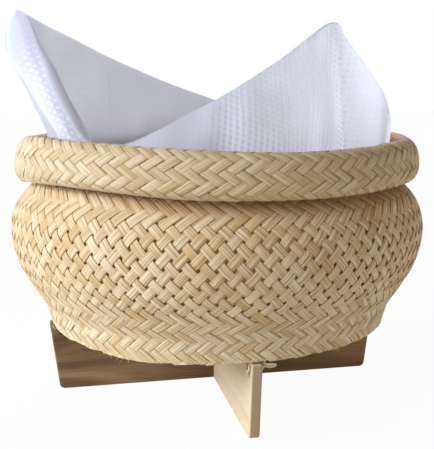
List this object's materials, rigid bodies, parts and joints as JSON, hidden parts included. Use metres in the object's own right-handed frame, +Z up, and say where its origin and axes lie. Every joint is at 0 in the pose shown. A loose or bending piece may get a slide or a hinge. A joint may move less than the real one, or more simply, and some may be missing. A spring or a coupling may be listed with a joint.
{
  "type": "sticky rice steamer",
  "caption": "Round-bellied woven bamboo rice bowl with a rolled rim, tied to a half-lapped wooden cross stand and lined with a lift-out net steaming cloth.",
  "frame": {"origin": "on the table, under the crossing of the two stand boards", "axes": "+Z up along the bowl's axis, +X along the long board, +Y along the cross board"},
  "size_m": [0.2, 0.2, 0.1819],
  "materials": {
    "board_wood": "sawn and lightly sanded, unvarnished",
    "hoop_bamboo": "split bamboo, smooth",
    "woven_bamboo_outer": "split bamboo strips in an open diagonal weave, matt with a slight sheen",
    "woven_bamboo_inner": "split bamboo strips in a close diagonal weave, matt",
    "woven_bamboo_rim": "split bamboo strips in herringbone rows, slight sheen",
    "rattan_tie": "thin cane tie, smooth",
    "net_cloth": "white open net, matt"
  },
  "bodies": {
    "bowl_on_stand": {"stand_board_long": "board_wood", "stand_board_cross": "board_wood", "foot_hoop": "hoop_bamboo", "outer_woven_wall": "woven_bamboo_outer", "outer_woven_floor": "woven_bamboo_outer", "inner_woven_lining": "woven_bamboo_inner", "rim_hoop": "hoop_bamboo", "rim_roll": "woven_bamboo_rim", "tie_right": "rattan_tie", "tie_back": "rattan_tie", "tie_left": "rattan_tie", "tie_front": "rattan_tie"},
    "cloth": {"steaming_cloth": "net_cloth"}
  },
  "joints": [
    {"name": "cloth_lift", "type": "slide", "parent": "bowl_on_stand", "child": "cloth", "axis": [0, 0, 1], "range_m": [0, 0.085]}
  ]
}
